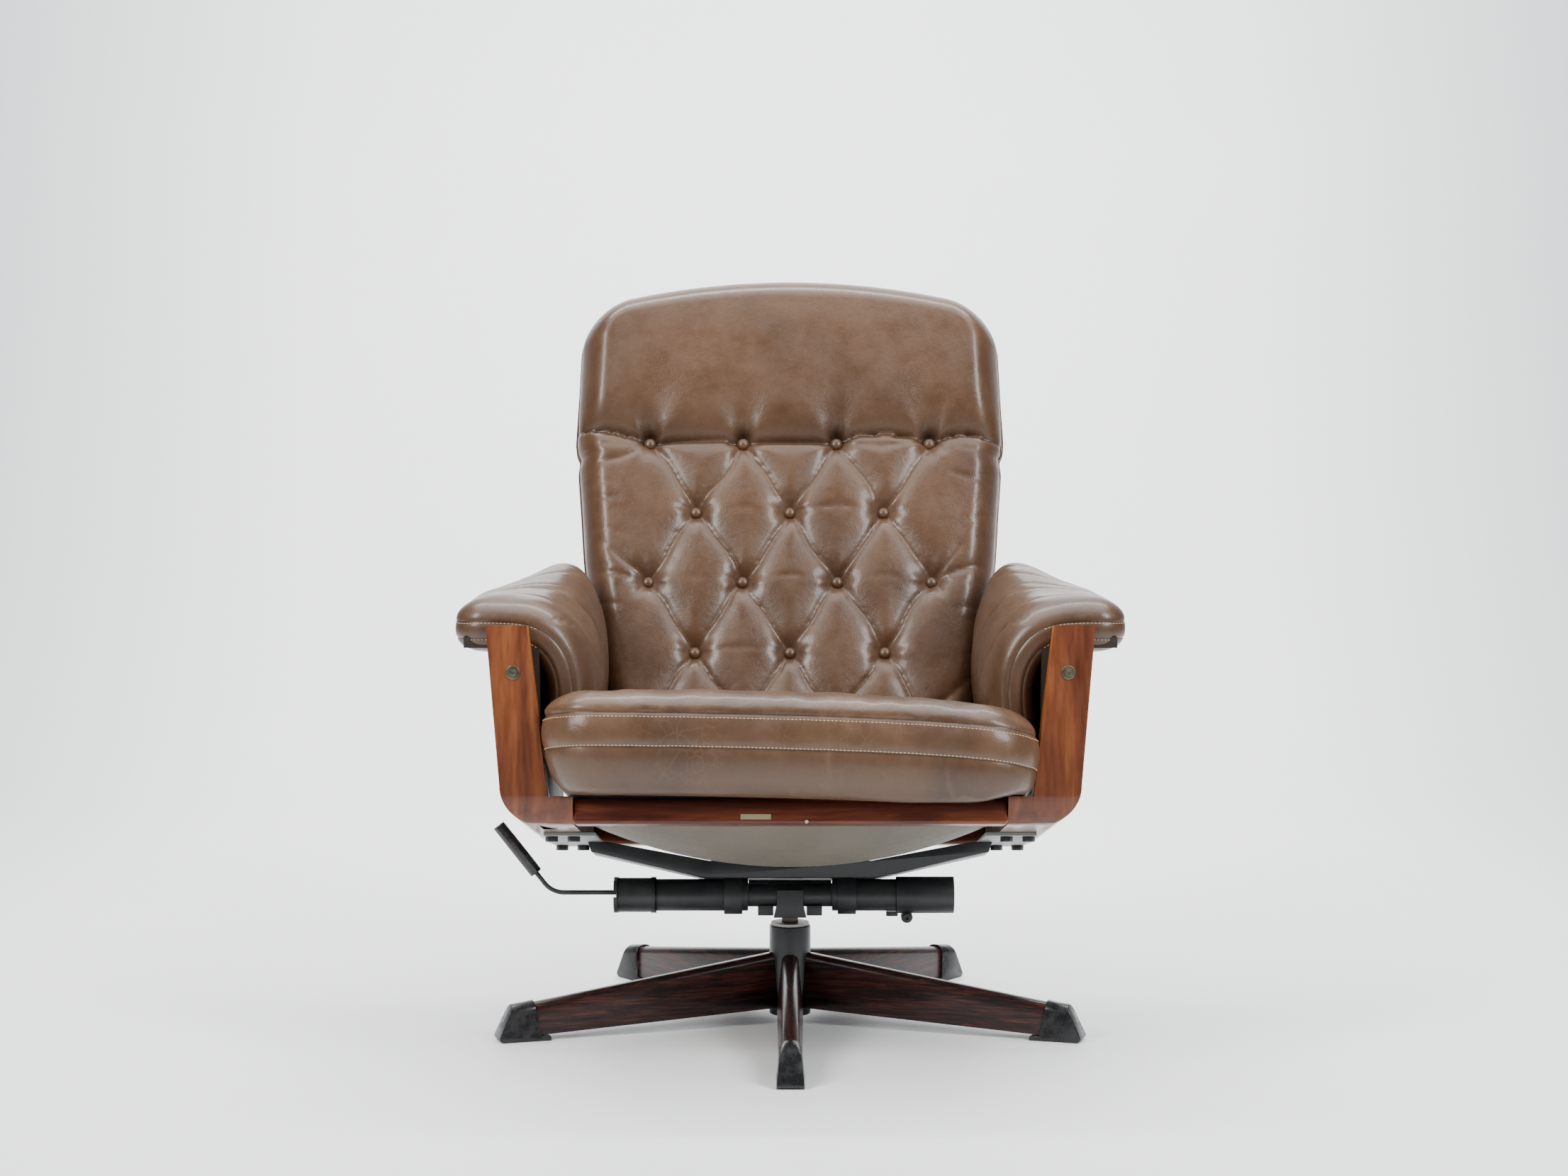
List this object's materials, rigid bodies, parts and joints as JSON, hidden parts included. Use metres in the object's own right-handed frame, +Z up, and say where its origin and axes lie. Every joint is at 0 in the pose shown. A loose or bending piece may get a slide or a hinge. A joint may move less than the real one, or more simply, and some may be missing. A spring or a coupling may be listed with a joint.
{
  "type": "recliner armchair",
  "caption": "Swivel recliner armchair: star base of sloping legs, friction-locked tilt with side lever, wooden posts, buttoned high back, padded arms and seat.",
  "frame": {"origin": "on the floor, at the swivel axis, which is also the centre of the base", "axes": "+Z up along the swivel axis; -Y is the way the sitter faces; +X is the sitter's left"},
  "size_m": [0.764, 0.7337, 0.9146],
  "materials": {
    "leg_foil": "satin",
    "foot_plastic": "satin",
    "black_steel": "satin",
    "worn_steel": "satin",
    "zinc_steel": "satin",
    "nylon": "satin",
    "stained_wood": "gloss",
    "plywood": "matte",
    "rubber_web": "matte",
    "pan_board": "matte",
    "leather": "satin",
    "grip_plastic": "gloss",
    "blank_label": "matte",
    "white_plastic": "satin",
    "brake_lining": "matte"
  },
  "bodies": {
    "base": {"hub_tube": "black_steel", "upper_bush": "nylon", "lower_bush": "nylon", "hub_end_plug": "zinc_steel", "leg_1": "leg_foil", "leg_2": "leg_foil", "leg_3": "leg_foil", "leg_4": "leg_foil", "leg_5": "leg_foil", "foot_cap_1": "foot_plastic", "foot_cap_2": "foot_plastic", "foot_cap_3": "foot_plastic", "foot_cap_4": "foot_plastic", "foot_cap_5": "foot_plastic"},
    "swivel": {"spindle": "worn_steel", "spindle_clip": "zinc_steel", "yoke": "black_steel", "yoke_gussets": "black_steel", "inner_tube": "black_steel", "torsion_anchor": "zinc_steel"},
    "seat": {"outer_tube_left": "black_steel", "outer_tube_right": "black_steel", "tube_bushes": "nylon", "end_collar": "black_steel", "end_sleeve": "black_steel", "sleeve_plug": "zinc_steel", "clamp_screw": "black_steel", "torsion_bar": "worn_steel", "brake_discs": "brake_lining", "tube_straps": "black_steel", "cross_beam": "black_steel", "bracket_plates": "black_steel", "bracket_bolts": "zinc_steel", "side_frame_left": "stained_wood", "side_frame_right": "stained_wood", "front_rail": "stained_wood", "rear_rail": "stained_wood", "rail_plate": "blank_label", "rail_stud": "white_plastic", "seat_pan": "pan_board", "seat_webbing": "rubber_web", "seat_cushion": "leather", "back_shell": "plywood", "back_cushion": "leather", "back_cover": "leather", "back_buttons": "leather", "button_discs": "zinc_steel", "arm_board_left": "plywood", "arm_board_right": "plywood", "arm_pad_left": "leather", "arm_pad_right": "leather", "arm_bolts": "worn_steel", "arm_washers": "worn_steel", "back_bolts": "worn_steel"},
    "lever": {"lever_rod": "black_steel", "lever_grip": "grip_plastic", "lever_cam": "zinc_steel"}
  },
  "joints": [
    {"name": "swivel_turn", "type": "hinge", "parent": "base", "child": "swivel", "pos_m": [0, 0, 0.13], "axis": [0, 0, 1], "continuous": true},
    {"name": "seat_tilt", "type": "hinge", "parent": "swivel", "child": "seat", "pos_m": [0, 0, 0.156], "axis": [-1, 0, 0], "range_deg": [0, 20]},
    {"name": "lever_turn", "type": "hinge", "parent": "seat", "child": "lever", "pos_m": [-0.2, 0, 0.156], "axis": [1, 0, 0], "range_deg": [0, 45]}
  ]
}
